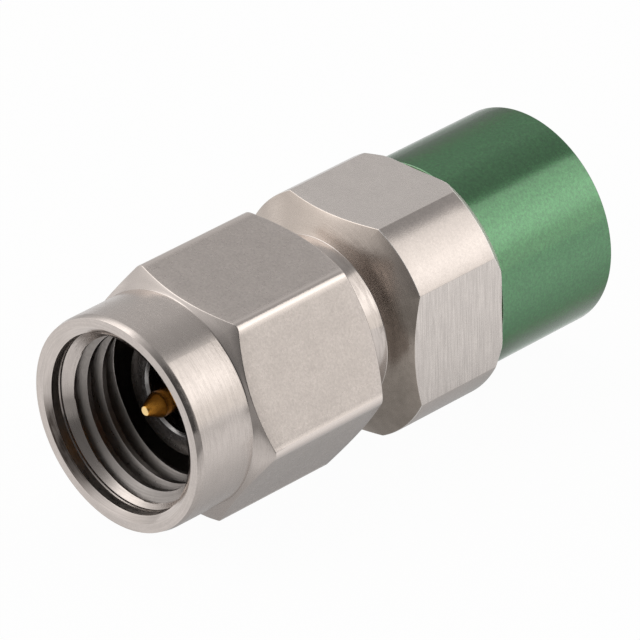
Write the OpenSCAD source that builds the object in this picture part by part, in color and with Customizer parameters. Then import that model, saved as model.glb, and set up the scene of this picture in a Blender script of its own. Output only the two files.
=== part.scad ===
// Coaxial termination with a male plug: a free hexagon coupling nut, a stainless body with
// four spanner flats, an air line with a centre pin, a rod load inside and a turned rear cap.
// It lies on its side. The origin is the centre of the plug's mating face, +Y runs from
// that face to the rear cap, and +Z is up.

/* [Coupling nut] */
// Width across the nut's flats
nut_af = 8; // [7.9:0.05:9]
// Rounding of the hexagon's corners
nut_corner_r = 0.25; // [0.1:0.05:0.6]
// Length of the nut
nut_len = 8.4; // [8:0.01:9.6]
// Diameter of the turned collar in front of the hexagon
nut_collar_d = 7.75; // [7.6:0.01:7.88]
// Length of the turned collar
nut_collar_len = 2.53; // [1.8:0.01:3]
// Length of the slight taper behind the collar's front edge
rim_taper_len = 0.24; // [0.05:0.01:0.5]
// How much the taper takes off the collar's radius at the front edge
rim_taper_w = 0.06; // [0.02:0.01:0.15]
// Diameter of the countersink in the collar's front face
countersink_d = 7; // [6.7:0.02:7.2]
// Depth of the countersink
countersink_depth = 0.15; // [0.05:0.01:0.25]
// Diameter of the plain counterbore behind the countersink, clear of the jack's thread
counterbore_d = 6.5; // [6.44:0.01:6.6]
// Distance from the mouth to the end of the counterbore
counterbore_depth = 0.56; // [0.45:0.01:0.8]
// Major diameter of the thread
thread_major_d = 6.35; // [6.3:0.01:6.4]
// Pitch diameter of the thread, at which its wall stands
thread_pitch_d = 5.94; // [5.88:0.01:6]
// Distance from the mouth to the thread's last turn
thread_depth = 2.72; // [2.4:0.01:2.9]
// Radial depth of the relief behind the thread, from the major diameter
nut_relief_depth = 0.1; // [0.05:0.01:0.15]
// Radial width of the rear face that the rear chamfer takes off the flats
rear_chamfer_w = 0.15; // [0.05:0.01:0.3]
// How far the nut is turned about its axis from flat side down
nut_rest_turn = 8.3; // [0:0.1:30]

/* [Plug] */
// Outer diameter of the plug's sleeve
plug_d = 4.59; // [4.4:0.01:4.7]
// Distance from the nut's mouth back to the plug's face
plug_setback = 2.85; // [2.6:0.01:3]
// Length of sleeve that stands in front of the body's neck
plug_reach = 2.35; // [2.1:0.05:2.6]
// Chamfer on the outer edge of the plug's face
plug_edge_chamfer = 0.075; // [0.03:0.005:0.15]
// Diameter of the air line's outer conductor
line_bore_d = 2.92; // [2.8:0.01:3.1]
// Chamfer on the inner edge of the plug's face
plug_bore_chamfer = 0.09; // [0.05:0.01:0.2]
// Diameter of the sleeve's shank, seated in the body
shank_d = 4.2; // [4:0.02:4.3]

/* [Centre contact] */
// Diameter of the centre pin
contact_d = 0.914; // [0.85:0.002:0.95]
// How far the pin's tip stands in front of the plug's face
contact_reach = 1.53; // [1.3:0.01:1.8]
// Diameter of the flat at the pin's tip
contact_tip_d = 0.34; // [0.2:0.01:0.5]
// Length of the pin's cone
contact_cone_len = 0.58; // [0.4:0.01:0.8]
// How far the line's shoulder lies behind the plug's face
contact_shoulder_setback = 0.05; // [0.02:0.01:0.2]
// Diameter of the air line's inner conductor
line_d = 1.27; // [1.15:0.01:1.4]
// Diameter of the conductor where it passes the bead
bead_bore_d = 1; // [0.9:0.01:1.1]
// Diameter of the stud behind the bead
stud_d = 0.6; // [0.5:0.01:0.7]
// Length of the stud behind the bead
stud_len = 0.5; // [0.3:0.05:0.6]

/* [Body] */
// Width across the body's four spanner flats
body_af = 7.94; // [7.8:0.02:8.2]
// Diameter of the round bands between the flats
body_corner_d = 8.98; // [8.7:0.02:9.6]
// Length of the round bands, between the two chamfers
body_band_len = 3.68; // [3:0.02:5]
// Diameter of the polished neck that the nut turns on
neck_d = 6.3; // [6.2:0.02:6.5]
// Length of neck that shows behind the nut
neck_show = 1.23; // [0.8:0.01:2]
// Diameter of the body's rear face, inside its chamfer
body_rear_d = 7.84; // [7.4:0.02:7.94]
// Diameter of the spigot that carries the rear cap
spigot_d = 6.6; // [6.3:0.02:6.9]
// How far the bead lies behind the start of the body's front cone
bead_setback = 0.1; // [0:0.05:0.5]

/* [Retaining ring] */
// Width of the split ring
ring_w = 0.5; // [0.4:0.02:0.6]
// Outer diameter of the split ring
ring_d = 6.9; // [6.8:0.02:6.96]
// Inner diameter of the split ring
ring_inner_d = 5.46; // [5.3:0.02:5.6]
// Diameter of the neck's groove, deep enough for the ring to be squeezed into it
neck_groove_d = 4.9; // [4.8:0.02:5.3]
// Land between the neck's front face and the ring's groove
ring_land = 1; // [0.6:0.05:1.2]
// Opening of the split, as an angle
ring_split = 24; // [10:1:60]

/* [Load] */
// Thickness of the support bead
bead_len = 1.4; // [1:0.05:2]
// Outer diameter of the load's sleeve and of the ground plug
load_d = 5.4; // [5.2:0.02:5.5]
// Length of the load's sleeve
load_len = 4.2; // [3.8:0.05:6]
// Straight length of the sleeve's bore before the taper
load_straight_len = 1.4; // [1.35:0.05:1.8]
// Diameter of the small end of the taper
taper_end_d = 1.2; // [1.1:0.02:1.6]
// Straight length at the small end of the taper
taper_end_len = 0.2; // [0.1:0.05:0.5]
// Length of the socket between the pin's stud and the rod
socket_len = 1.3; // [1.25:0.05:1.35]
// Depth to which the rod enters the socket
socket_grip = 0.6; // [0.4:0.05:0.6]
// Diameter of the rod resistor
rod_d = 0.9; // [0.8:0.01:0.95]
// Diameter of the ground collet's flange
collet_d = 4.6; // [4:0.05:5]
// Thickness of the ground collet's flange
collet_flange_len = 0.5; // [0.3:0.05:0.8]
// Diameter of the ground collet's fingers
finger_d = 1.6; // [1.4:0.02:1.7]
// Length of the ground collet's fingers
finger_len = 0.8; // [0.7:0.05:0.9]
// Width of the saw cuts in the collet and the socket
saw_w = 0.16; // [0.1:0.01:0.2]
// Height of the disc spring
spring_h = 0.35; // [0.25:0.01:0.5]
// Thickness of the disc spring's metal
spring_t = 0.15; // [0.1:0.01:0.2]
// Length of the ground plug
ground_plug_len = 1.55; // [1.3:0.05:2]
// Width of the screwdriver slot in the ground plug
slot_w = 0.5; // [0.3:0.05:0.8]
// Depth of the screwdriver slot in the ground plug
slot_depth = 0.4; // [0.2:0.05:0.5]

/* [Rear cap] */
// Diameter of the rear cap
cap_d = 8; // [7.6:0.02:8.6]
// Thickness of the rear cap's closed end
cap_end_wall = 1.93; // [0.8:0.01:3]
// Chamfer on the rear cap's edges
cap_chamfer = 0.08; // [0.04:0.01:0.3]

/* [Clearances] */
// Radial clearance of the nut on the neck
run_gap = 0.05; // [0.03:0.01:0.08]
// Side clearance of the split ring in each groove
ring_gap = 0.05; // [0.03:0.01:0.08]
// Radial clearance of the pieces seated in the body and the cap
seat_gap = 0.01; // [0.005:0.005:0.02]
// Space between the spigot's end and the cap's floor
cap_floor_gap = 0.2; // [0.1:0.05:0.4]

/* [Hidden] */
$fn = 96;
eps = 0.01;
chamfer_angle = 30;
corner_steps = 6;
taper_steps = 14;
groove_gap = 0.05;
nut_front_y = -plug_setback;
nut_rear_y = nut_front_y + nut_len;
collar_end_y = nut_front_y + nut_collar_len;
neck_front_y = plug_reach;
shoulder_y = nut_rear_y + neck_show;
band_front_y = shoulder_y + chamfer_rise(body_corner_d - neck_d);
band_rear_y = band_front_y + body_band_len;
body_rear_y = band_rear_y + chamfer_rise(body_corner_d - body_rear_d);
bead_y = shoulder_y + bead_setback;
load_y = bead_y + bead_len;
collet_y = load_y + load_len;
spring_y = collet_y + collet_flange_len;
ground_plug_y = spring_y + spring_h;
spigot_end_y = ground_plug_y + ground_plug_len;
cap_floor_y = spigot_end_y + cap_floor_gap;
cap_rear_y = cap_floor_y + cap_end_wall;
front_bore_d = shank_d + 2 * seat_gap;
main_bore_d = load_d + 2 * seat_gap;
nut_bore_d = neck_d + 2 * run_gap;
nut_groove_d = ring_d + 4 * run_gap;
neck_groove_y = neck_front_y + ring_land;
neck_groove_w = ring_w + 2 * ring_gap;
ring_y = neck_groove_y + ring_gap;
rod_front_y = load_y + socket_len - socket_grip;
rod_rear_y = spring_y + finger_len;
finger_room_d = finger_d + 0.3;
finger_room_depth = finger_len - spring_h + 0.15;

// Length along the axis of a chamfer that takes this much off a diameter
function chamfer_rise(diameter_change) = diameter_change / 2 * tan(chamfer_angle);

// Points of a hexagon with rounded corners, one corner on +X
function rounded_hexagon(af, r) =
    let (centre = (af / 2 - r) / cos(30))
    [for (corner = [0:5], step = [0:corner_steps])
        let (a = 60 * corner - 30 + 60 * step / corner_steps)
        [centre * cos(60 * corner) + r * cos(a), centre * sin(60 * corner) + r * sin(a)]];

// Turns a profile, given as radius and Y, about the part's axis
module turned(profile) {
    rotate([-90, 0, 0]) rotate_extrude() polygon(profile);
}

// A disc or bar along the axis
module bar(d, y0, y1) {
    translate([0, y0, 0]) rotate([-90, 0, 0]) cylinder(h = y1 - y0, d = d);
}

// A ring groove's cutter, with walls square to the axis
module ring_cutter(inner_d, outer_d, y0, y1) {
    difference() {
        bar(outer_d, y0, y1);
        bar(inner_d, y0 - eps, y1 + eps);
    }
}

// Two crossed saw cuts through the axis, open towards the rear
module saw_cuts(d, y0, y1) {
    for (a = [0, 90])
        rotate([0, a, 0]) translate([-d, y0, -saw_w / 2]) cube([2 * d, y1 - y0, saw_w]);
}

// Hexagon bar, chamfered at both ends, with the turned collar in front
module nut_blank() {
    half = nut_af / 2;
    far = nut_af;
    collar_r = nut_collar_d / 2;
    front_rise = chamfer_rise(2 * far - nut_collar_d);
    rear_r = half - rear_chamfer_w;
    rear_rise = chamfer_rise(2 * far - 2 * rear_r);
    intersection() {
        translate([0, nut_front_y, 0]) rotate([-90, 0, 0])
            linear_extrude(nut_len) polygon(rounded_hexagon(nut_af, nut_corner_r));
        turned([[0, collar_end_y - 0.2], [collar_r, collar_end_y - 0.2],
                [collar_r, collar_end_y], [far, collar_end_y + front_rise],
                [far, nut_rear_y - rear_rise], [rear_r, nut_rear_y], [0, nut_rear_y]]);
    }
    turned([[0, nut_front_y], [collar_r - rim_taper_w, nut_front_y],
            [collar_r, nut_front_y + rim_taper_len], [collar_r, collar_end_y],
            [0, collar_end_y]]);
}

module coupling_nut() {
    thread_r = thread_pitch_d / 2;
    mouth_r = counterbore_d / 2;
    sink_r = countersink_d / 2;
    sink_y = nut_front_y + countersink_depth;
    mouth_end_y = nut_front_y + counterbore_depth;
    thread_y = mouth_end_y + mouth_r - thread_r;
    thread_end_y = nut_front_y + thread_depth;
    relief_r = thread_major_d / 2 + nut_relief_depth;
    relief_end_y = neck_front_y - groove_gap;
    bore_r = nut_bore_d / 2;
    groove_r = nut_groove_d / 2;
    groove_y = neck_groove_y - groove_gap;
    groove_end_y = neck_groove_y + neck_groove_w + groove_gap;
    color([0.76, 0.74, 0.72])
    rotate([0, nut_rest_turn, 0]) difference() {
        nut_blank();
        turned([[0, nut_front_y - 1], [sink_r, nut_front_y - 1], [sink_r, nut_front_y],
                [mouth_r, sink_y], [mouth_r, mouth_end_y],
                [thread_r, thread_y], [thread_r, thread_end_y],
                [relief_r, thread_end_y], [relief_r, relief_end_y], [bore_r, relief_end_y],
                [bore_r, groove_y], [groove_r, groove_y], [groove_r, groove_end_y],
                [bore_r, groove_end_y], [bore_r, nut_rear_y + 1], [0, nut_rear_y + 1]]);
    }
}

module retaining_ring() {
    color([0.72, 0.55, 0.3])
    difference() {
        ring_cutter(ring_inner_d, ring_d, ring_y, ring_y + ring_w);
        rotate([0, 45 - ring_split / 2, 0]) rotate([90, 0, 0]) translate([0, 0, -ring_y - 1])
            linear_extrude(2) polygon([[0, 0], [ring_d, 0],
                [ring_d * cos(ring_split), ring_d * sin(ring_split)]]);
    }
}

// Turned outside of the body, before the flats are milled
module body_turning() {
    neck_r = neck_d / 2;
    groove_r = neck_groove_d / 2;
    groove_end_y = neck_groove_y + neck_groove_w;
    corner_r = body_corner_d / 2;
    spigot_r = spigot_d / 2;
    turned([[0, neck_front_y], [neck_r, neck_front_y], [neck_r, neck_groove_y],
            [groove_r, neck_groove_y], [groove_r, groove_end_y], [neck_r, groove_end_y],
            [neck_r, shoulder_y], [corner_r, band_front_y], [corner_r, band_rear_y],
            [body_rear_d / 2, body_rear_y], [spigot_r, body_rear_y],
            [spigot_r, spigot_end_y], [0, spigot_end_y]]);
}

module body() {
    color([0.74, 0.71, 0.69])
    difference() {
        body_turning();
        for (side = [0:3]) rotate([0, 90 * side, 0])
            translate([-body_corner_d, shoulder_y, body_af / 2])
            cube([2 * body_corner_d, body_rear_y - shoulder_y + eps, body_corner_d]);
        bar(front_bore_d, neck_front_y - 1, load_y + eps);
        bar(main_bore_d, load_y, spigot_end_y + 1);
    }
}

module plug_sleeve() {
    sleeve_r = plug_d / 2;
    bore_r = line_bore_d / 2;
    face_r = sleeve_r - plug_edge_chamfer;
    lip_r = bore_r + plug_bore_chamfer;
    color([0.6, 0.58, 0.56])
    turned([[lip_r, 0], [face_r, 0], [sleeve_r, plug_edge_chamfer], [sleeve_r, neck_front_y],
            [shank_d / 2, neck_front_y], [shank_d / 2, bead_y], [bore_r, bead_y],
            [bore_r, plug_bore_chamfer]]);
}

module centre_pin() {
    tip_y = -contact_reach;
    pin_r = contact_d / 2;
    line_r = line_d / 2;
    neck_r = bead_bore_d / 2;
    stud_r = stud_d / 2;
    color([0.83, 0.62, 0.25])
    turned([[0, tip_y], [contact_tip_d / 2, tip_y], [pin_r, tip_y + contact_cone_len],
            [pin_r, contact_shoulder_setback], [line_r, contact_shoulder_setback],
            [line_r, bead_y], [neck_r, bead_y], [neck_r, load_y], [stud_r, load_y],
            [stud_r, load_y + stud_len], [0, load_y + stud_len]]);
}

module support_bead() {
    color([0.85, 0.8, 0.62])
    ring_cutter(bead_bore_d + 2 * seat_gap, shank_d, bead_y, load_y);
}

module pin_socket() {
    color([0.83, 0.62, 0.25])
    difference() {
        bar(line_d, load_y, load_y + socket_len);
        bar(stud_d + 2 * seat_gap, load_y - 1, load_y + stud_len + seat_gap);
        bar(rod_d + 2 * seat_gap, rod_front_y, load_y + socket_len + 1);
        saw_cuts(line_d, rod_front_y + saw_w, load_y + socket_len + 1);
    }
}

module load_sleeve() {
    wide_r = line_bore_d / 2;
    end_r = taper_end_d / 2;
    taper_y = load_y + load_straight_len;
    taper_len = load_len - load_straight_len - taper_end_len;
    taper = [for (i = [0:taper_steps]) let (t = i / taper_steps)
        [wide_r * pow(end_r / wide_r, t), taper_y + taper_len * t]];
    color([0.8, 0.66, 0.35])
    turned(concat([[load_d / 2, collet_y], [load_d / 2, load_y], [wide_r, load_y]],
                  taper, [[end_r, collet_y]]));
}

module resistor_rod() {
    color([0.9, 0.89, 0.85])
    bar(rod_d, rod_front_y, rod_rear_y);
}

module ground_collet() {
    color([0.8, 0.66, 0.35])
    difference() {
        union() {
            bar(collet_d, collet_y, spring_y);
            bar(finger_d, spring_y - eps, rod_rear_y);
        }
        bar(rod_d + 2 * seat_gap, collet_y - 1, rod_rear_y + 1);
        saw_cuts(finger_d, spring_y, rod_rear_y + 1);
    }
}

module disc_spring() {
    inner_r = finger_room_d / 2;
    outer_r = collet_d / 2;
    color([0.66, 0.66, 0.68])
    turned([[inner_r, spring_y], [outer_r, ground_plug_y - spring_t],
            [outer_r, ground_plug_y], [inner_r, spring_y + spring_t]]);
}

module ground_plug() {
    color([0.8, 0.66, 0.35])
    difference() {
        bar(load_d, ground_plug_y, spigot_end_y);
        bar(finger_room_d, ground_plug_y - 1, ground_plug_y + finger_room_depth);
        translate([-load_d, spigot_end_y - slot_depth, -slot_w / 2])
            cube([2 * load_d, 1, slot_w]);
    }
}

module rear_cap() {
    cap_r = cap_d / 2;
    bore_r = spigot_d / 2 + seat_gap;
    color([0.25, 0.5, 0.32])
    turned([[bore_r, body_rear_y], [cap_r - cap_chamfer, body_rear_y],
            [cap_r, body_rear_y + cap_chamfer], [cap_r, cap_rear_y - cap_chamfer],
            [cap_r - cap_chamfer, cap_rear_y], [0, cap_rear_y], [0, cap_floor_y],
            [bore_r, cap_floor_y]]);
}

coupling_nut();
retaining_ring();
body();
plug_sleeve();
centre_pin();
support_bead();
pin_socket();
load_sleeve();
resistor_rod();
ground_collet();
disc_spring();
ground_plug();
rear_cap();
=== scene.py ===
import math

import bmesh
import bpy
import numpy as np
from mathutils import Matrix, Quaternion, Vector


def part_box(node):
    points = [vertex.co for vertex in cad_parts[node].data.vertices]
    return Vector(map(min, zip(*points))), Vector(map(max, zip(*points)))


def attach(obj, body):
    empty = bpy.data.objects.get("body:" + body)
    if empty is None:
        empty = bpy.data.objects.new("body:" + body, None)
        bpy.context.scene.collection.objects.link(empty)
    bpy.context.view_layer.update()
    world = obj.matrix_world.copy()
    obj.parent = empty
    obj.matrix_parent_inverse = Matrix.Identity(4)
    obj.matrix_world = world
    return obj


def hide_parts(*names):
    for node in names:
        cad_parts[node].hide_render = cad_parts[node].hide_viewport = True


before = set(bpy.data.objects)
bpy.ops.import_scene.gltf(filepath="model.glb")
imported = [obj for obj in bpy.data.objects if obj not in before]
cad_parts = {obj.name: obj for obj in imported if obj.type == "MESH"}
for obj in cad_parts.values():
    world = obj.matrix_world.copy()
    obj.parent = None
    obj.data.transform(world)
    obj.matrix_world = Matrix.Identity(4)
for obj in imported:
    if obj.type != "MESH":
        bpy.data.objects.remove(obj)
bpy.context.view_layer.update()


# Lengths are in millimetres, and radii are from the part's axis, Y.
MM = 0.001
TURN = 2 * math.pi
TAN30 = math.tan(math.radians(30))


# Outlines, as points (x, z), with angles from +X towards +Z

def between(p, q, share):
    """The point at this share of the way from p to q."""
    return (p[0] + (q[0] - p[0]) * share, p[1] + (q[1] - p[1]) * share)


def arc(x, z, radius, start, end, count):
    return [(x + radius * math.cos(a), z + radius * math.sin(a)) for a in np.linspace(start, end, count)]


def hexagon(across_flats, corner_r, turn, flat_steps=14, corner_steps=12):
    """Hexagon with rounded corners, one of them at this angle."""
    reach = (across_flats / 2 - corner_r) / math.cos(math.pi / 6)
    corners = []
    for k in range(6):
        at = turn + k * math.pi / 3
        corners.append(arc(reach * math.cos(at), reach * math.sin(at), corner_r,
                           at - math.pi / 6, at + math.pi / 6, corner_steps + 1))
    points = []
    for corner, following in zip(corners, corners[1:] + corners[:1]):
        points += corner
        points += [between(corner[-1], following[0], i / flat_steps) for i in range(1, flat_steps)]
    return points


def flatted_round(across_flats, diameter, corner_r, flat_steps=14, band_steps=40, corner_steps=4):
    """Circle with four flats, the eight corners between them rounded."""
    # the centre of a corner's rounding lies on the inner side of both the flat and the circle
    flat_z = across_flats / 2
    z = flat_z - corner_r
    x = math.sqrt((diameter / 2 - corner_r) ** 2 - z ** 2)
    band_start, band_end = math.atan2(x, z), math.atan2(z, x)
    quarter = arc(z, x, corner_r, 0, band_start, corner_steps + 1)
    quarter += arc(0, 0, diameter / 2, band_start, band_end, band_steps + 1)[1:-1]
    quarter += arc(x, z, corner_r, band_end, math.pi / 2, corner_steps + 1)
    quarter += [between((x, flat_z), (-x, flat_z), i / flat_steps) for i in range(1, flat_steps)]
    points = []
    for k in range(4):
        c, s = math.cos(k * math.pi / 2), math.sin(k * math.pi / 2)
        points += [(px * c - pz * s, px * s + pz * c) for px, pz in quarter]
    return points


def polar(points, same_angle=1e-5):
    """Angles and radii of an outline's points, in order of angle and without doubles."""
    p = np.array(points, float)
    angle = np.arctan2(p[:, 1], p[:, 0])
    radius = np.hypot(p[:, 0], p[:, 1])
    order = np.argsort(angle)
    angle, radius = angle[order], radius[order]
    keep = np.ones(len(angle), bool)
    keep[1:] = np.diff(angle) > same_angle
    return angle[keep], radius[keep]


# Profiles, as points (radius, y)

def fillet(rows, steps=3):
    """Rounds the corners of a profile, rows of (radius, y, fillet); its ends and fillets of 0 stay sharp."""
    points = [rows[0][:2]]
    for before, row, after in zip(rows, rows[1:], rows[2:]):
        if row[2] == 0:
            points.append(row[:2])
            continue
        corner = np.array(row[:2], float)
        a, b = np.array(before[:2], float) - corner, np.array(after[:2], float) - corner
        length_a, length_b = np.linalg.norm(a), np.linalg.norm(b)
        a, b = a / length_a, b / length_b
        half = math.acos(float(np.clip(a @ b, -1, 1))) / 2
        # a fillet takes less than half of the side that it shares with the next one
        reach = min(row[2] / math.tan(half), 0.45 * length_a, 0.45 * length_b)
        radius = reach * math.tan(half)
        centre = corner + (a + b) / np.linalg.norm(a + b) * (radius / math.sin(half))
        start, end = corner + a * reach - centre, corner + b * reach - centre
        first = math.atan2(start[1], start[0])
        sweep = (math.atan2(end[1], end[0]) - first + math.pi) % TURN - math.pi
        points += [(centre[0] + radius * math.cos(first + sweep * k / steps),
                    centre[1] + radius * math.sin(first + sweep * k / steps)) for k in range(steps + 1)]
    return points + [rows[-1][:2]]


def cut_long_steps(profiles, longest=0.5, most=8):
    """Adds points along the long steps of profiles, as many in each, so that all keep one count."""
    cuts = []
    for i in range(len(profiles[0]) - 1):
        length = max(math.dist(profile[i], profile[i + 1]) for profile in profiles)
        cuts.append(max(1, min(most, math.ceil(length / longest))))
    finer = []
    for profile in profiles:
        points = []
        for p, q, count in zip(profile, profile[1:], cuts):
            points += [between(p, q, k / count) for k in range(count)]
        finer.append(points + [profile[-1]])
    return finer


# Meshes

def column(angle, profile):
    """A profile's points at one angle, in metres."""
    c, s = math.cos(angle), math.sin(angle)
    return [(r * c * MM, y * MM, r * s * MM) for r, y in profile]


def ring_faces(columns, rows, closed=False):
    """Quads between neighbouring columns all round; closed joins each column's last row to its first."""
    faces = []
    for i in range(columns):
        here, there = i * rows, (i + 1) % columns * rows
        for k in range(rows if closed else rows - 1):
            up = (k + 1) % rows
            faces.append((here + k, here + up, there + up, there + k))
    return faces


def shell(name, verts, faces, merge=2e-7, sharp=35):
    """Mesh object with doubled points merged, shaded smooth but for edges sharper than this many degrees."""
    mesh = bpy.data.meshes.new(name)
    mesh.from_pydata(verts, [], faces)
    mesh.update()
    ob = bpy.data.objects.new(name, mesh)
    bpy.context.scene.collection.objects.link(ob)
    work = bmesh.new()
    work.from_mesh(mesh)
    bmesh.ops.remove_doubles(work, verts=work.verts, dist=merge)
    bmesh.ops.dissolve_degenerate(work, dist=1e-8, edges=work.edges)
    bmesh.ops.recalc_face_normals(work, faces=work.faces)
    work.to_mesh(mesh)
    work.free()
    mesh.shade_smooth()
    mesh.set_sharp_from_angle(angle=math.radians(sharp))
    normals = ob.modifiers.new("normals", "WEIGHTED_NORMAL")
    normals.mode = "FACE_AREA"
    normals.keep_sharp = True
    return ob


def turned_piece(name, profile, columns, closed=False):
    """Solid of revolution from a profile that is closed or runs from axis to axis."""
    verts = []
    for angle in np.linspace(-math.pi, math.pi, columns, endpoint=False):
        verts += column(angle, profile)
    return shell(name, verts, ring_faces(columns, len(profile), closed))


# Coupling nut

nut_low, nut_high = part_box("coupling_nut")
NUT_FRONT, NUT_REAR = nut_low.y / MM, nut_high.y / MM
NUT_FLATS, NUT_CORNER_R = 8.0, 0.34
# the hexagon's rolled corners lie between these radii
CORNER_FROM_R, CORNER_TO_R = 4.46, 4.53
# as in the CAD, by +8.3 degrees about +Y: from +Z towards +X
NUT_TURN = math.radians(8.3)
COLLAR_R, COLLAR_END, REAR_R = 3.875, -0.32, 3.85
# the front edge's slight taper
LIP_R, LIP_END = 3.822, -2.60
# extra rows this close to the corners of face, taper and collar hold their shading flat
NEAR_SINK, NEAR_LIP, NEAR_COLLAR = 0.03, 0.032, 0.04
TAPER_ROW_R = 3.8672
# the mouth from its face inwards: countersink, counterbore, small step, 45 degree entry
SINK_R = 3.50
MOUTH_R, MOUTH_FRONT, MOUTH_REAR = 3.25, -2.70, -2.365
STEP_R, STEP_FRONT, ENTRY_FRONT = 3.225, -2.32, -2.245
MAJOR_R, CREST_R, PITCH, THREAD_END = 3.175, 2.795, 25.4 / 36, -0.13
RELIEF_R, RELIEF_END = 3.275, 2.30
BORE_R, BORE_CHAMFER = 3.20, 0.06
GROOVE_R, GROOVE_FRONT, GROOVE_REAR = 3.55, 3.30, 4.00

nut_angles, nut_radii = polar(hexagon(NUT_FLATS, NUT_CORNER_R, -NUT_TURN))


def nut_profile(radius):
    """The nut's rows at a place where its hexagon has this radius."""
    return fillet([
        (STEP_R, ENTRY_FRONT, 0),
        (STEP_R, STEP_FRONT, 0.006),
        (MOUTH_R, MOUTH_REAR, 0.006),
        (MOUTH_R, MOUTH_FRONT, 0.012),
        (SINK_R, NUT_FRONT, 0.012),
        (SINK_R + NEAR_SINK, NUT_FRONT, 0),
        (LIP_R - NEAR_LIP, NUT_FRONT, 0),
        (LIP_R, NUT_FRONT, 0.01),
        (TAPER_ROW_R, LIP_END - NEAR_COLLAR, 0),
        (COLLAR_R, LIP_END, 0.006),
        (COLLAR_R, LIP_END + NEAR_COLLAR, 0),
        (COLLAR_R, COLLAR_END, 0.05),
        (radius, COLLAR_END + (radius - COLLAR_R) * TAN30, 0.035),
        (radius, NUT_REAR - (radius - REAR_R) * TAN30, 0.045),
        (REAR_R, NUT_REAR, 0.03),
        (BORE_R + BORE_CHAMFER, NUT_REAR, 0.01),
        (BORE_R, NUT_REAR - BORE_CHAMFER, 0.01),
        (BORE_R, GROOVE_REAR, 0.01),
        (GROOVE_R, GROOVE_REAR, 0.01),
        (GROOVE_R, GROOVE_FRONT, 0.01),
        (BORE_R, GROOVE_FRONT, 0.01),
        (BORE_R, RELIEF_END, 0.01),
        (RELIEF_R, RELIEF_END, 0.01),
        (RELIEF_R, THREAD_END),
    ])


# one pitch of the thread as shares: half a root, flank, crest, flank, half a root
FLANK = (MAJOR_R - CREST_R) * TAN30 / PITCH
ROOT = 0.09 / PITCH
CREST = 1 - 2 * FLANK - ROOT
CREST_START, CREST_END = ROOT / 2 + FLANK, ROOT / 2 + FLANK + CREST
# the crest's front edge lies at this y where the angle from +Z towards +X is 190 degrees
CREST_EDGE_Y, CREST_EDGE_AT = -1.64, math.radians(190)
# at +Z the middle of a root lies at this y, close to -2
THREAD_START = CREST_EDGE_Y - PITCH * (CREST_START + CREST_EDGE_AT / TURN)
THREAD_START += PITCH * round((-2.0 - THREAD_START) / PITCH)
# the pitches before and after it that cover the thread at every angle
THREAD_PITCHES = range(-5, 7)


def thread_marks(near=0.012):
    """Places of the strip's rows within a pitch, with more of them near the crest's edges."""
    root_end, next_root = ROOT / 2, 1 - ROOT / 2
    marks = [0.0, root_end, root_end + near * 0.8]
    marks += [root_end + FLANK * share for share in (0.15, 0.3, 0.45, 0.6, 0.75, 0.9)]
    marks += [CREST_START - near, CREST_START, CREST_START + near]
    marks += [CREST_START + CREST * share for share in (0.25, 0.5, 0.75)]
    marks += [CREST_END - near, CREST_END, CREST_END + near]
    marks += [CREST_END + FLANK * share for share in (0.1, 0.25, 0.4, 0.55, 0.7, 0.85)]
    return marks + [next_root - near * 0.8, next_root]


def thread_lead(angle):
    """Share of a pitch by which the thread has advanced at this angle."""
    return (math.pi / 2 - angle) / TURN


def thread_radius(angle, y):
    """Radius of the nut's thread, with its 45 degree entry."""
    if y <= ENTRY_FRONT + 1e-6:
        return STEP_R
    phase = (y - THREAD_START) / PITCH - thread_lead(angle)
    radius = float(np.interp(phase % 1.0, [0, ROOT / 2, CREST_START, CREST_END, 1 - ROOT / 2, 1],
                             [MAJOR_R, MAJOR_R, CREST_R, CREST_R, MAJOR_R, MAJOR_R]))
    return max(radius, STEP_R - (y - ENTRY_FRONT))


def build_nut():
    verts = []
    profiles = cut_long_steps([nut_profile(radius) for radius in nut_radii])
    for angle, profile in zip(nut_angles, profiles):
        verts += column(angle, profile + [(thread_radius(angle, THREAD_END), THREAD_END)])
    faces = ring_faces(len(nut_angles), len(profiles[0]) + 1)
    # the thread is a strip that climbs by one pitch a turn, so its last column isn't its first
    start = len(verts)
    marks = thread_marks()
    for angle in [*nut_angles, nut_angles[0] + TURN]:
        lead = thread_lead(angle)
        ys = [min(max(THREAD_START + PITCH * (k + mark + lead), ENTRY_FRONT), THREAD_END)
              for k in THREAD_PITCHES for mark in marks]
        verts += column(angle, [(thread_radius(angle, y), y) for y in ys])
    rows = len(ys)
    for i in range(len(nut_angles)):
        for k in range(start + i * rows, start + (i + 1) * rows - 1):
            quad = (k, k + rows, k + rows + 1, k + 1)
            # rows that would lie beyond the thread's ends are held there, with no height between them
            if any(abs(verts[quad[a]][1] - verts[quad[b]][1]) >= 1e-9 for a, b in ((0, 3), (1, 2))):
                faces.append(quad)
    return shell("nut_shell", verts, faces, merge=3e-7, sharp=38)


nut = build_nut()
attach(nut, "nut")
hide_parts("coupling_nut")


# Body

body_low, body_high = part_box("body")
cap_low, cap_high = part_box("rear_cap")
NECK_FRONT, SPIGOT_END = body_low.y / MM, body_high.y / MM
BODY_REAR, CAP_REAR = cap_low.y / MM, cap_high.y / MM
BODY_FLATS, BODY_ROUND, BODY_CORNER_R = 7.94, 8.98, 0.06
NECK_R, SHOULDER = 3.15, 6.78
SPIGOT_R = 3.30
# the plug sleeve's shank sits in the front bore and the load in the wide bore behind it
SHANK_R, SHANK_CLEARANCE = 2.10, 0.01
LOAD_BORE_R, LOAD_FRONT = 2.71, 8.28
RING_GROOVE_R, RING_GROOVE_FRONT, RING_GROOVE_REAR = 2.45, 3.35, 3.95
# the rear chamfer starts beyond this radius, so it cuts the round bands and leaves the flats whole
CHAMFER_R, CHAMFER_SLOPE, EDGE_BREAK = 4.21, 1.15, 0.05

body_angles, body_radii = polar(flatted_round(BODY_FLATS, BODY_ROUND, BODY_CORNER_R))


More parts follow.
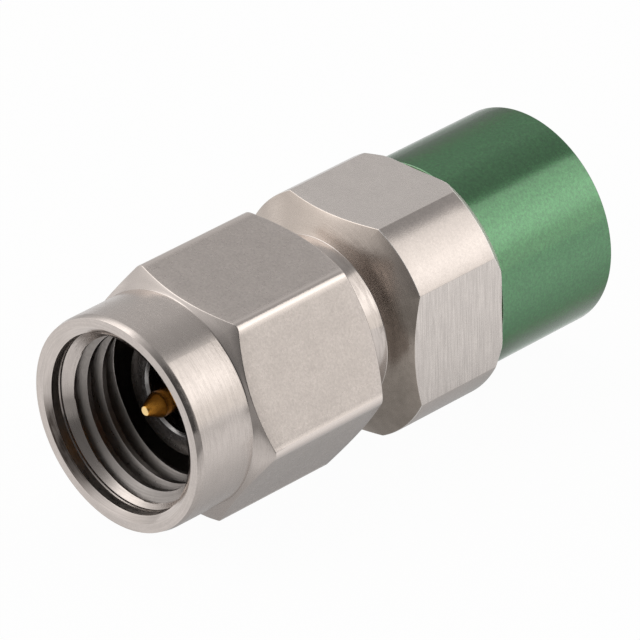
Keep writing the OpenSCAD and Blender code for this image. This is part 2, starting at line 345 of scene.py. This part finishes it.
def body_profile(radius):
    """The body's rows at a place where its outline has this radius."""
    shank_bore_r = SHANK_R + SHANK_CLEARANCE
    return fillet([
        (LOAD_BORE_R, SPIGOT_END),
        (LOAD_BORE_R, LOAD_FRONT, 0),
        (shank_bore_r, LOAD_FRONT, 0),
        (shank_bore_r, NECK_FRONT, 0),
        (NECK_R, NECK_FRONT, 0.04),
        (NECK_R, RING_GROOVE_FRONT, 0.01),
        (RING_GROOVE_R, RING_GROOVE_FRONT, 0.01),
        (RING_GROOVE_R, RING_GROOVE_REAR, 0.01),
        (NECK_R, RING_GROOVE_REAR, 0.01),
        (NECK_R, SHOULDER, 0.03),
        (radius, SHOULDER + (radius - NECK_R) * TAN30, 0.03),
        (radius, BODY_REAR - EDGE_BREAK - max(radius - CHAMFER_R, 0) * CHAMFER_SLOPE, 0.05),
        (min(radius, CHAMFER_R) - EDGE_BREAK * 0.7, BODY_REAR, 0.01),
        (SPIGOT_R, BODY_REAR, 0.01),
        (SPIGOT_R, SPIGOT_END),
    ])


def build_body():
    verts = []
    profiles = cut_long_steps([body_profile(radius) for radius in body_radii])
    for angle, profile in zip(body_angles, profiles):
        verts += column(angle, profile)
    return shell("body_shell", verts, ring_faces(len(body_angles), len(profiles[0]), closed=True), sharp=38)


body = build_body()
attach(body, "termination")
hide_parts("body")


# Plug sleeve

PLUG_R, PLUG_CHAMFER = 2.295, 0.075
PLUG_BORE_R, BORE_MOUTH_CHAMFER, SHANK_END = 1.46, 0.09, 6.88
# a closed profile starts half way along a wall, because its ends get no fillet
PLUG_START = 1.2
plug = turned_piece("plug_shell", fillet([
    (PLUG_R, PLUG_START),
    (PLUG_R, PLUG_CHAMFER, 0.02),
    (PLUG_R - PLUG_CHAMFER, 0.0, 0.02),
    (PLUG_BORE_R + BORE_MOUTH_CHAMFER, 0.0, 0.015),
    (PLUG_BORE_R, BORE_MOUTH_CHAMFER, 0.015),
    (PLUG_BORE_R, SHANK_END, 0),
    (SHANK_R, SHANK_END, 0),
    (SHANK_R, NECK_FRONT, 0),
    (PLUG_R, NECK_FRONT),
]), columns=224, closed=True)
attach(plug, "termination")
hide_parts("plug_sleeve")


# Centre pin

PIN_R, PIN_END, TIP_R, TIP_Y, CONE_END = 0.457, 0.05, 0.17, -1.53, -0.95
LINE_R, BEAD_R, STUD_R, STUD_END = 0.635, 0.50, 0.30, 8.78
pin_profile = fillet([
    (0.0, TIP_Y),
    (TIP_R, TIP_Y, 0.05),
    (PIN_R, CONE_END, 0.12),
    (PIN_R, PIN_END, 0.01),
    (LINE_R, PIN_END, 0.02),
    (LINE_R, SHANK_END, 0.01),
    (BEAD_R, SHANK_END, 0.01),
    (BEAD_R, LOAD_FRONT, 0.01),
    (STUD_R, LOAD_FRONT, 0.01),
    (STUD_R, STUD_END, 0.01),
    (0.0, STUD_END),
], steps=4)
pin = turned_piece("pin_shell", cut_long_steps([pin_profile], longest=0.4, most=20)[0], columns=96)
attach(pin, "termination")
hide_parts("centre_pin")


# Rear cap

CAP_R, CAP_CHAMFER, CAP_FRONT_BREAK, CAP_BORE_R = 4.0, 0.08, 0.015, 3.31
CAP_FLOOR = CAP_REAR - 1.93
cap_profile = fillet([
    (0.0, CAP_REAR),
    (CAP_R - CAP_CHAMFER, CAP_REAR, 0.03),
    (CAP_R, CAP_REAR - CAP_CHAMFER, 0.03),
    (CAP_R, BODY_REAR + CAP_FRONT_BREAK, 0.005),
    (CAP_R - CAP_FRONT_BREAK, BODY_REAR, 0.005),
    (CAP_BORE_R, BODY_REAR, 0.01),
    (CAP_BORE_R, CAP_FLOOR, 0.01),
    (0.0, CAP_FLOOR),
], steps=4)
cap = turned_piece("cap_shell", cut_long_steps([cap_profile], most=20)[0], columns=288)
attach(cap, "termination")
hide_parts("rear_cap")


# Node trees

class Tree:
    """A node tree, emptied and filled anew. An input is a number, a colour (r, g, b) or an output to link."""

    def __init__(self, tree, output):
        self.tree = tree
        tree.nodes.clear()
        self.end = self.node(output).inputs[0]

    def node(self, kind, **settings):
        new = self.tree.nodes.new("ShaderNode" + kind)
        for name, value in settings.items():
            setattr(new, name, value)
        return new

    def feed(self, socket, value):
        if isinstance(value, tuple):
            socket.default_value = (*value, 1.0)
        elif isinstance(value, (int, float)):
            socket.default_value = value
        else:
            self.tree.links.new(value, socket)

    def made(self, node, inputs, output=0):
        """An output of a node whose inputs, by name or number, are fed first."""
        for key, value in inputs.items():
            self.feed(node.inputs[key], value)
        return node.outputs[output]

    def math(self, operation, a, b=0.0, clamp=False):
        return self.made(self.node("Math", operation=operation, use_clamp=clamp), {0: a, 1: b})

    def times(self, a, b, clamp=False):
        return self.math("MULTIPLY", a, b, clamp)

    def vector(self, x, y, z):
        return self.made(self.node("CombineXYZ"), {0: x, 1: y, 2: z})

    def parts(self, vector):
        node = self.node("SeparateXYZ")
        self.feed(node.inputs[0], vector)
        return list(node.outputs)

    def ramp(self, value, low, high, start=0.0, end=1.0, **settings):
        """A value mapped from low and high to start and end."""
        inputs = {"Value": value, "From Min": low, "From Max": high, "To Min": start, "To Max": end}
        return self.made(self.node("MapRange", **settings), inputs, "Result")

    def mix(self, share, a, b, **settings):
        return self.made(self.node("Mix", data_type="RGBA", **settings), {0: share, 6: a, 7: b}, 2)

    def stops(self, value, rows):
        """Colour along a value from 0 to 1: rows of (place, colour), the first at 0 and the last at 1."""
        node = self.node("ValToRGB")
        elements = node.color_ramp.elements
        elements[0].position, elements[1].position = 0.0, 1.0
        elements[0].color = (*rows[0][1], 1.0)
        elements[1].color = (*rows[-1][1], 1.0)
        for place, colour in rows[1:-1]:
            elements.new(place).color = (*colour, 1.0)
        return self.made(node, {0: value})

    def mix_shaders(self, share, a, b):
        return self.made(self.node("MixShader"), {0: share, 1: a, 2: b})


class Look(Tree):
    """A piece's material: one principled shader over patterns laid out in the part's own millimetres."""

    def __init__(self, name):
        self.material = bpy.data.materials.new(name)
        self.material.use_nodes = True
        super().__init__(self.material.node_tree, "OutputMaterial")
        self.shader = self.node("BsdfPrincipled")
        self.feed(self.end, self.shader.outputs[0])
        metres = self.node("TexCoord").outputs["Object"]
        self.place = self.made(self.node("VectorMath", operation="SCALE"), {0: metres, "Scale": 1 / MM})
        self.x, self.y, self.z = self.parts(self.place)
        squares = self.math("ADD", self.times(self.x, self.x), self.times(self.z, self.z))
        self.radius = self.math("SQRT", squares)

    def shade(self, **inputs):
        """Feeds the shader's inputs, their names with _ for a space."""
        for name, value in inputs.items():
            self.feed(self.shader.inputs[name.replace("_", " ")], value)

    def noise(self, vector, per_mm=1.0, detail=2.0, rough=0.5):
        inputs = {"Vector": vector, "Scale": per_mm, "Detail": detail, "Roughness": rough}
        return self.made(self.node("TexNoise"), inputs, "Fac")

    def patches(self, per_mm, low=0.3, high=0.7, start=0.0, end=1.0, detail=2.0, rough=0.5):
        """Noise of the part's space, mapped from low and high to start and end."""
        return self.ramp(self.noise(self.place, per_mm, detail, rough), low, high, start, end)

    def bump(self, height, depth, after=None):
        """Normals with this relief, in mm, over those of an earlier bump."""
        inputs = {"Height": height, "Distance": depth * MM, "Strength": 1.0}
        if after is not None:
            inputs["Normal"] = after
        return self.made(self.node("Bump"), inputs)

    def rolled(self, radius, samples=6):
        """Normals as if the corners were rounded by this many mm."""
        return self.made(self.node("Bevel", samples=samples), {"Radius": radius * MM})

    def edge(self, width):
        """1 close to a corner, 0 away from it."""
        dot = self.node("VectorMath", operation="DOT_PRODUCT")
        normal = self.node("NewGeometry").outputs["Normal"]
        return self.ramp(self.made(dot, {0: self.rolled(width, samples=4), 1: normal}, "Value"), 0.995, 0.90)

    def turned(self, per_mm):
        """Lines round the axis, as a lathe leaves them, on faces and on cylinders alike."""
        lines = self.vector(self.times(self.radius, per_mm), self.times(self.y, per_mm), 0.0)
        return self.noise(lines, detail=3.0, rough=0.6)

    def streaks(self, per_mm, along=1.2):
        """Broken lines round the axis: fine across, long along the cut."""
        across = self.math("ADD", self.times(self.x, along), self.times(self.radius, per_mm))
        lines = self.vector(across, self.times(self.y, per_mm), self.times(self.z, along))
        return self.noise(lines, rough=0.6)

    def painted_shade(self, tint, share, middle=110.0, edge=(0.55, 0.75), colour=(0.26, 0.225, 0.19)):
        """Painted shade in a darker colour over one side; middle is in degrees from +Z towards +X, edge in
        cosines from it.
        """
        at = math.radians(middle)
        along = self.math("ADD", self.times(self.x, math.sin(at)), self.times(self.z, math.cos(at)))
        side = self.ramp(self.math("DIVIDE", along, self.radius), *edge)
        cover = self.times(side, self.patches(2.6, start=0.8, end=1.15, detail=5.0, rough=0.65))
        return self.mix(self.times(cover, share, clamp=True), tint, colour)

    def glint_along_axis(self, amount):
        """Turned metal: its glints spread along the axis, square to the tool marks."""
        self.shade(Anisotropic=amount, Anisotropic_Rotation=0.25,
                   Tangent=self.node("Tangent", direction_type="RADIAL", axis="Y").outputs[0])


def scaled(colour, factor):
    return tuple(min(1.0, part * factor) for part in colour)


# Materials

def steel(name, base, rough, spread=0.04, mottle=0.05, fleck=0.0, milled=0.0, painted_shade=None, corners=0.0,
          marks=0.0, marks_per_mm=22.0, wear=0.03, tumbled=0.0, waves=0.0, waves_mm=0.5,
          grain=0.0, grain_mm=0.07, lathe=0.0, lathe_per_mm=14.0, glint=0.0):
    """Steel with the marks of its cut.

    mottle, fleck, milled and marks are shares of darker tints. painted_shade holds the arguments of
    Look.painted_shade, a painted shade over one side. corners is how much smoother the hexagon's corners are.
    wear and tumbled are the widths of rubbed and of rolled edges, and waves, grain and lathe are depths, all
    in mm.
    """
    look = Look(name)
    fine = look.noise(look.place, 7.0, 3.0, 0.6)
    tint = look.mix(look.patches(1.3, detail=3.0, rough=0.55), scaled(base, 1 - mottle), base)
    coarse = look.ramp(fine, 0.3, 0.7, rough - spread, rough + spread)
    if fleck:
        tint = look.mix(look.patches(11.0, 0.35, 0.65, 0.0, fleck, 3.0, 0.7), tint, scaled(base, 0.6))
    if milled:
        along = look.vector(look.times(look.x, 0.7), look.times(look.y, 23.0), look.times(look.z, 0.7))
        cut = look.noise(along, detail=2.5, rough=0.65)
        # the cutter left the flats at the sides coarser than those on top and below
        flat = BODY_FLATS / 2
        side = look.ramp(look.math("ABSOLUTE", look.x), flat - 0.27, flat - 0.07, 0.15, 1.0)
        tint = look.mix(look.times(look.ramp(cut, 0.36, 0.64, 0.0, milled), side), tint, scaled(base, 0.6))
    # painted shade over one side of the piece
    if painted_shade:
        tint = look.painted_shade(tint, **painted_shade)
    if corners:
        rubbed = look.ramp(look.radius, CORNER_FROM_R, CORNER_TO_R)
        tint = look.mix(rubbed, tint, scaled(base, 1.18))
        coarse = look.math("SUBTRACT", coarse, look.times(rubbed, corners))
    if marks:
        lines = look.streaks(marks_per_mm)
        tint = look.mix(look.ramp(lines, 0.35, 0.65, 0.0, marks), tint, scaled(base, 0.72))
        coarse = look.math("ADD", coarse, look.ramp(lines, 0.4, 0.6, -0.03, 0.05))
    edge = look.edge(wear)
    tint = look.mix(look.times(edge, look.ramp(fine, 0.35, 0.6, 0.35, 1.0)), tint, scaled(base, 1.25))
    look.shade(Base_Color=tint, Metallic=1.0, Roughness=look.math("SUBTRACT", coarse, look.times(edge, 0.08)))
    normal = look.rolled(tumbled) if tumbled else None
    if waves:
        normal = look.bump(look.noise(look.place, 1 / waves_mm, 1.5), waves, normal)
    if grain:
        normal = look.bump(look.noise(look.place, 1 / grain_mm, rough=0.6), grain, normal)
    if milled:
        normal = look.bump(look.times(cut, side), 0.0018, normal)
    if lathe:
        normal = look.bump(look.turned(lathe_per_mm), lathe, normal)
    look.shade(Normal=normal)
    if glint:
        look.glint_along_axis(glint)
    return look.material


STEEL = (0.665, 0.598, 0.558)
nut_flat = steel("nut_ground_flats", STEEL, 0.30, mottle=0.08, fleck=0.42, corners=0.13, wear=0.06,
                 tumbled=0.04, waves=0.002, waves_mm=0.35, grain=0.0035, grain_mm=0.06)
nut_turned = steel("nut_turned", STEEL, 0.22, marks=0.14, waves=0.0010, waves_mm=0.4, grain=0.0006,
                   lathe=0.0008, glint=0.55)
nut_rim = steel("nut_rim", STEEL, 0.15, spread=0.03, fleck=0.22, marks=0.35, waves=0.0006, waves_mm=0.4,
                lathe=0.0010, glint=0.3)
# painted shade: the steel inside the mouth darker than outside
nut_inner = steel("nut_bored", scaled(STEEL, 0.88), 0.22, marks=0.15, lathe=0.0012, glint=0.6)
# painted shade, near black, on the countersink's lower left
nut_sink = steel("nut_countersink", STEEL, 0.08, spread=0.02, marks=0.5, lathe=0.0016, lathe_per_mm=20.0,
                 painted_shade=dict(share=0.95, middle=235.0, edge=(0.83, 0.97), colour=(0.10, 0.075, 0.06)))
# painted shade: the thread's steel darker than the outside, and darker still on its left side
nut_thread = steel("nut_thread", (0.49, 0.45, 0.425), 0.34, spread=0.06, marks=0.8, marks_per_mm=30.0,
                   grain=0.0010, lathe=0.0020, glint=0.3,
                   painted_shade=dict(share=0.6, middle=262.0, edge=(0.1, 0.8), colour=(0.17, 0.15, 0.135)))
nut_rear = steel("nut_rear", (0.42, 0.38, 0.36), 0.25, lathe=0.0010, glint=0.3)
body_neck = steel("body_polished_neck", STEEL, 0.10, spread=0.03, marks=0.4, marks_per_mm=9.0, lathe=0.0008,
                  glint=0.7)
# brownish painted shade over the cone's right and lower side, where the nut shades it
body_cone = steel("body_front_cone", (0.68, 0.59, 0.525), 0.22, fleck=0.15, marks=0.15, waves=0.0020,
                  waves_mm=0.35, grain=0.0012, lathe=0.0008, glint=0.2, painted_shade=dict(share=0.72))
body_flat = steel("body_milled_flats", (0.83, 0.76, 0.715), 0.26, fleck=0.20, milled=0.58, wear=0.04,
                  tumbled=0.05, waves=0.0015, waves_mm=0.4, grain=0.0003, grain_mm=0.08)
body_band = steel("body_round_bands", STEEL, 0.20, fleck=0.24, wear=0.05, waves=0.0008, waves_mm=0.4,
                  grain=0.0014, grain_mm=0.05, lathe=0.0003, glint=0.35)
# painted highlight: steel near white for the rear chamfer and the edge between cone and band
body_chamfer_painted_highlight = steel("body_rear_chamfer", (0.93, 0.88, 0.84), 0.38, grain=0.0012)
# painted shade: the plug's steel dark, as it lies in the nut's shade
plug_face = steel("plug_face", (0.36, 0.345, 0.34), 0.22, marks=0.2, lathe=0.001, glint=0.5)


def gold(name, light, dark, rough):
    look = Look(name)
    tint = look.mix(look.patches(3.0), dark, light)
    look.shade(Base_Color=look.mix(look.times(look.edge(0.02), 0.5), tint, scaled(light, 1.2)), Metallic=1.0,
               Roughness=look.patches(12.0, start=rough - 0.04, end=rough + 0.04),
               Normal=look.bump(look.turned(18.0), 0.0015))
    return look.material


gold_cone = gold("gold_plate", (0.92, 0.44, 0.07), (0.84, 0.38, 0.055), 0.18)
# painted highlight: a paler gold for the pin's tip
gold_tip_painted_highlight = gold("gold_plate_tip_painted_highlight", (1.0, 0.74, 0.36), (0.96, 0.68, 0.30), 0.25)
# painted shade: darker gold for the barrel deep in the bore
gold_barrel_painted_shade = gold("gold_plate_barrel_painted_shade", (0.66, 0.28, 0.045), (0.58, 0.24, 0.038), 0.22)


def green_anodised():
    """Dyed anodic layer over turned aluminium: a deep green lobe under the white shine of the layer."""
    look = Look("green_anodised")
    dye = look.mix(look.patches(2.0), (0.070, 0.262, 0.094), (0.078, 0.284, 0.102))
    dye = look.mix(look.patches(9.0, 0.36, 0.64, 0.0, 0.75, 4.0, 0.75), dye, (0.030, 0.130, 0.044))
    dye = look.mix(look.ramp(look.streaks(16.0), 0.35, 0.65, 0.0, 0.22), dye, (0.052, 0.185, 0.070))
    rubbed = look.times(look.edge(0.025), look.patches(5.0, 0.35, 0.6, 0.4, 1.0, 3.0))
    ripple = look.bump(look.noise(look.place, 2.2, 1.5), 0.0012)
    peel = look.bump(look.noise(look.place, 16.0), 0.0014)
    look.shade(Base_Color=look.mix(rubbed, dye, (0.46, 0.52, 0.45)), Metallic=1.0,
               Roughness=look.patches(8.0, start=0.18, end=0.24), Specular_Tint=(0.08, 0.22, 0.10),
               Normal=look.bump(look.turned(16.0), 0.0014, ripple),
               Coat_Weight=0.76, Coat_IOR=2.0, Coat_Roughness=look.patches(6.0, start=0.08, end=0.12),
               Coat_Normal=look.bump(look.turned(12.0), 0.0005, peel))
    look.glint_along_axis(0.45)
    return look.material


def plain(name, base, metallic, rough):
    """Material of a piece inside the body."""
    look = Look(name)
    tint = look.mix(look.patches(2.5), scaled(base, 0.88), base)
    look.shade(Base_Color=look.mix(look.times(look.edge(0.03), 0.6), tint, scaled(base, 1.2)),
               Metallic=metallic,
               Roughness=look.patches(9.0, start=rough - 0.06, end=rough + 0.08),
               Normal=look.bump(look.turned(14.0), 0.003))
    return look.material


# Materials on the pieces

def dress(ob, materials, pick=None):
    """Puts materials on a piece. With more than one, pick gives each face's, from the radius and y of its
    centre in mm and from the parts of its normal that point away from the axis and to the rear."""
    ob.data.materials.clear()
    for material in materials:
        ob.data.materials.append(material)
    if pick is None:
        return
    for face in ob.data.polygons:
        centre, normal = face.center, face.normal
        radius = math.hypot(centre.x, centre.z)
        outward = (normal.x * centre.x + normal.z * centre.z) / max(radius, 1e-9)
        face.material_index = materials.index(pick(radius / MM, centre.y / MM, outward, normal.y))


def nut_look(r, y, outward, rearward):
    in_mouth = r < RELIEF_R + 0.025
    on_hexagon = r > COLLAR_R + 0.075
    if rearward > 0.3 and y > NUT_REAR - 1.05 or r < GROOVE_R + 0.05 and y > RELIEF_END + 0.1:
        return nut_rear
    if in_mouth and outward < 0.2 and ENTRY_FRONT < y < RELIEF_END + 0.2:
        return nut_thread if y > ENTRY_FRONT + (STEP_R - r) + 0.012 else nut_inner
    if r < SINK_R + 0.01 and y < MOUTH_FRONT + 0.01:
        return nut_sink
    if in_mouth and y < ENTRY_FRONT - 0.005:
        return nut_inner if rearward < -0.3 else nut_thread
    # the front edge, and the fillet between collar and hexagon
    if y < LIP_END + 0.02 or not on_hexagon and abs(y - COLLAR_END) < 0.06 and -0.85 < rearward < -0.04:
        return nut_rim
    return nut_flat if on_hexagon and abs(rearward) < 0.05 else nut_turned


def body_look(r, y, outward, rearward):
    band_r = BODY_ROUND / 2
    cone_end = SHOULDER + (band_r - NECK_R) * TAN30
    if r < NECK_R + 0.05 and y < SHOULDER + 0.01:
        return body_neck
    # the rounded edge between cone and band gets the rear chamfer's pale steel, a painted highlight
    if r > band_r - 0.07 and y < cone_end + 0.65 and -0.8 < rearward < -0.06:
        return body_chamfer_painted_highlight
    if rearward < -0.3 and y < cone_end + 0.05:
        return body_cone
    # the rear chamfer gets the pale steel of a painted highlight
    if r > CHAMFER_R - 0.11 and y > BODY_REAR - 0.66 and rearward > 0.08:
        return body_chamfer_painted_highlight
    if r > band_r - 0.05 or rearward > 0.3:
        return body_band
    return body_flat


def pin_look(r, y, outward, rearward):
    # the tip's end gets a paler gold, a painted highlight
    if y < TIP_Y + 0.03 and r < TIP_R - 0.01:
        return gold_tip_painted_highlight
    # behind the cone the barrel gets a darker gold, a painted shade
    return gold_barrel_painted_shade if y > CONE_END + 0.01 else gold_cone


dress(nut, [nut_flat, nut_turned, nut_inner, nut_thread, nut_sink, nut_rear, nut_rim], nut_look)
dress(body, [body_neck, body_cone, body_flat, body_band, body_chamfer_painted_highlight], body_look)
dress(plug, [plug_face])
dress(pin, [gold_cone, gold_tip_painted_highlight, gold_barrel_painted_shade], pin_look)
dress(cap, [green_anodised()])
brass = plain("brass", (0.72, 0.52, 0.22), 1.0, 0.28)
hidden = {
    "retaining_ring": plain("spring_bronze", (0.60, 0.36, 0.17), 1.0, 0.3),
    "support_bead": plain("bead_plastic", (0.72, 0.62, 0.36), 0.0, 0.45),
    "pin_socket": gold_cone,
    "load_sleeve": brass,
    "resistor_rod": plain("ceramic", (0.80, 0.78, 0.72), 0.0, 0.5),
    "ground_collet": gold_cone,
    "disc_spring": plain("spring_steel", (0.50, 0.50, 0.52), 1.0, 0.3),
    "ground_plug": brass,
}
for piece, material in hidden.items():
    dress(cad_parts[piece], [material])


# Camera, placed as it stood for the photo

EYE, AIM, ROLL = (167.474, -159.956, 131.028), (-0.137, 6.903, -0.049), math.radians(-1.381)
camera = bpy.data.objects.new("photo_camera", bpy.data.cameras.new("photo_camera"))
camera.data.sensor_fit = "HORIZONTAL"
camera.data.sensor_width = 36.0
camera.data.lens = 450.0
camera.data.clip_start = 0.01
camera.data.clip_end = 10.0
ahead = Vector(AIM) - Vector(EYE)
turned_to = ahead.to_track_quat("-Z", "Y") @ Quaternion((0, 0, 1), ROLL)
camera.matrix_world = Matrix.LocRotScale(Vector(EYE) * MM, turned_to, None)
bpy.context.scene.collection.objects.link(camera)
bpy.context.scene.camera = camera
bpy.context.scene.view_settings.view_transform = "Standard"


# Floor: white paper to the camera, a sheet of soft greys in what metal mirrors, with the part's shadow and
# the light under the cap painted into it, and pale for all other light

FLOOR_Z, FLOOR_HALF = -4.227, 1500.0
PAPER = (0.88, 0.87, 0.855)
# shares of pure white in what the camera sees, and of the sheet in what metal mirrors
SEEN_WHITE, MIRRORED_SHEET = 0.97, 0.8
# grey levels of the sheet from its left, -X, to its right, darker near the middle as a painted shadow of the
# part; the second row is for the floor under the cap, with painted light there
LEFT = [(-40, 0.70), (-21, 0.84), (-9.5, 0.88), (-5.75, 0.68)]
RIGHT = [(9.25, 0.92), (20, 1.08), (30, 1.16)]
ACROSS = LEFT + [(-3, 0.48), (3, 0.53), (5.75, 0.72)] + RIGHT
ACROSS_UNDER_CAP = LEFT + [(-3, 0.75), (2.4, 1.10), (3.4, 0.86), (4.4, 0.72)] + RIGHT
# and from close to the part to far out in front of it, along this direction
OUT_FRONT = (0.64, -0.77)
OUTWARDS = [(3, 1.0), (5.2, 0.96), (7.2, 0.76), (9.5, 0.62), (12, 0.14), (15, 0.30)]
# to the right of FAR_RIGHT the sheet stays pale up to the horizon
FAR_RIGHT, FAR_SHARE = 50, 0.25
# between these y the sheet's front part fades into its middle, and its middle into the part under the cap
NOSE_FROM, NOSE_TO = -3.6, -2.6
CAP_FROM, CAP_TO = 12.8, 14.8


def level(tree, value, rows):
    """Grey along a length in metres, from rows of (millimetres, grey)."""
    start, end = rows[0][0], rows[-1][0]
    shares = [((place - start) / (end - start), (grey * 0.995, grey, grey * 1.005)) for place, grey in rows]
    return tree.stops(tree.ramp(value, start * MM, end * MM), shares)


def floor_material():
    material = bpy.data.materials.new("studio_floor")
    material.use_nodes = True
    tree = Tree(material.node_tree, "OutputMaterial")
    x, y, _ = tree.parts(tree.node("TexCoord").outputs["Object"])
    out_front = tree.math("ADD", tree.times(x, OUT_FRONT[0]), tree.times(y, OUT_FRONT[1]))
    far = tree.math("MAXIMUM", tree.math("SUBTRACT", x, FAR_RIGHT * MM), 0.0)
    fronts = level(tree, tree.math("SUBTRACT", out_front, tree.times(far, FAR_SHARE)), OUTWARDS)
    # the painted shadow of the part, and the painted light under the cap
    sides = tree.mix(tree.ramp(y, CAP_FROM * MM, CAP_TO * MM),
                     level(tree, x, ACROSS), level(tree, x, ACROSS_UNDER_CAP))
    greys = tree.mix(tree.ramp(y, NOSE_FROM * MM, NOSE_TO * MM),
                     fronts, tree.mix(1.0, sides, fronts, blend_type="DARKEN"))
    paper = tree.made(tree.node("BsdfDiffuse"), {0: PAPER})
    sheet = tree.made(tree.node("Emission"), {0: greys, 1: 1.0})
    white = tree.made(tree.node("Emission"), {0: (1.0, 1.0, 1.0), 1: 1.0})
    rays = tree.node("LightPath").outputs
    mirrored = tree.mix_shaders(tree.times(rays["Is Glossy Ray"], MIRRORED_SHEET), paper, sheet)
    tree.feed(tree.end, tree.mix_shaders(tree.times(rays["Is Camera Ray"], SEEN_WHITE), mirrored, white))
    return material


def build_floor():
    mesh = bpy.data.meshes.new("studio_floor")
    half, z = FLOOR_HALF * MM, FLOOR_Z * MM
    corners = [(-half, -half, z), (half, -half, z), (half, half, z), (-half, half, z)]
    mesh.from_pydata(corners, [], [(0, 1, 2, 3)])
    mesh.materials.append(floor_material())
    ob = bpy.data.objects.new("studio_floor", mesh)
    bpy.context.scene.collection.objects.link(ob)
    return ob


floor = build_floor()


# Light: a room for reflections and shading, white to the camera. Its rings of light run round the part's
# axis, from rows of (degrees from +Z towards +X, brightness) and a third value for warmth.

ROOM_STRENGTH = 2.0
# behind the part: a soft grey wall, a narrow dark gap overhead and a broad softbox to the right
REAR = [(-180, 0.60), (-112, 0.76), (-98, 0.62), (-84, 0.54), (-50, 0.55), (-24, 0.52), (-12, 0.42),
        (11, 0.35), (17, 0.50), (21, 1.15, 0.02), (38, 1.38, 0.02), (52, 1.63, 0.02), (62, 1.57, 0.02),
        (76, 1.12, 0.03), (90, 1.04, 0.03), (104, 0.96, 0.03), (126, 0.99, 0.03), (180, 0.62)]
REAR_POLE = [(-180, 1.0), (-60, 0.9), (0, 0.7), (20, 1.1), (60, 1.25), (120, 0.9), (180, 1.0)]
# in front of it: a bright panel to the upper left and the dark room round the camera
FRONT = [(-180, 0.60), (-120, 0.80), (-86, 0.74), (-64, 0.98, 0.01), (-50, 1.62, 0.01), (-24, 1.84, 0.01),
         (-12, 0.84), (8, 0.34), (28, 0.13), (40, 0.07), (92, 0.07), (108, 0.41), (140, 0.60), (180, 0.60)]
# straight ahead of the part it runs from left to right instead: rows of (x of the direction, brightness)
FRONT_POLE = [(-1.0, 0.92), (-0.6, 0.98), (-0.46, 0.94), (-0.32, 0.74), (-0.17, 0.58), (-0.06, 0.36),
              (0.05, 0.26), (0.12, 0.24), (0.20, 0.20), (1.0, 0.10)]
# how far the direction points to the rear, or to the front, where one ring fades into the next
FRONT_TO_REAR, REAR_TO_POLE, FRONT_TO_POLE = (0.20, 0.45), (0.70, 0.92), (0.60, 0.76)


def light_row(share, brightness, warmth=0.0):
    """A place and its colour, as a share of the room's strength."""
    grey = brightness / ROOM_STRENGTH
    return share, (grey * (1 + 0.5 * warmth), grey, grey * (1 - warmth))


def build_world():
    world = bpy.data.worlds.new("studio")
    world.use_nodes = True
    tree = Tree(world.node_tree, "OutputWorld")
    x, y, z = tree.parts(tree.node("TexCoord").outputs["Generated"])
    turn = tree.ramp(tree.math("ARCTAN2", x, z), -math.pi, math.pi)

    def ring(rows):
        return tree.stops(turn, [light_row((row[0] + 180) / 360, *row[1:]) for row in rows])

    def fade(value, limits, a, b):
        return tree.mix(tree.ramp(value, *limits, interpolation_type="SMOOTHSTEP"), a, b)

    pole = tree.stops(tree.ramp(x, -1.0, 1.0), [light_row((row[0] + 1) / 2, *row[1:]) for row in FRONT_POLE])
    front = fade(tree.times(y, -1.0), FRONT_TO_POLE, ring(FRONT), pole)
    rear = fade(y, REAR_TO_POLE, ring(REAR), ring(REAR_POLE))
    room = tree.made(tree.node("Background"), {0: fade(y, FRONT_TO_REAR, front, rear), 1: ROOM_STRENGTH})
    white = tree.made(tree.node("Background"), {0: (1.0, 1.0, 1.0), 1: 1.0})
    seen = tree.node("LightPath").outputs["Is Camera Ray"]
    tree.feed(tree.end, tree.mix_shaders(seen, room, white))
    return world


bpy.context.scene.world = build_world()
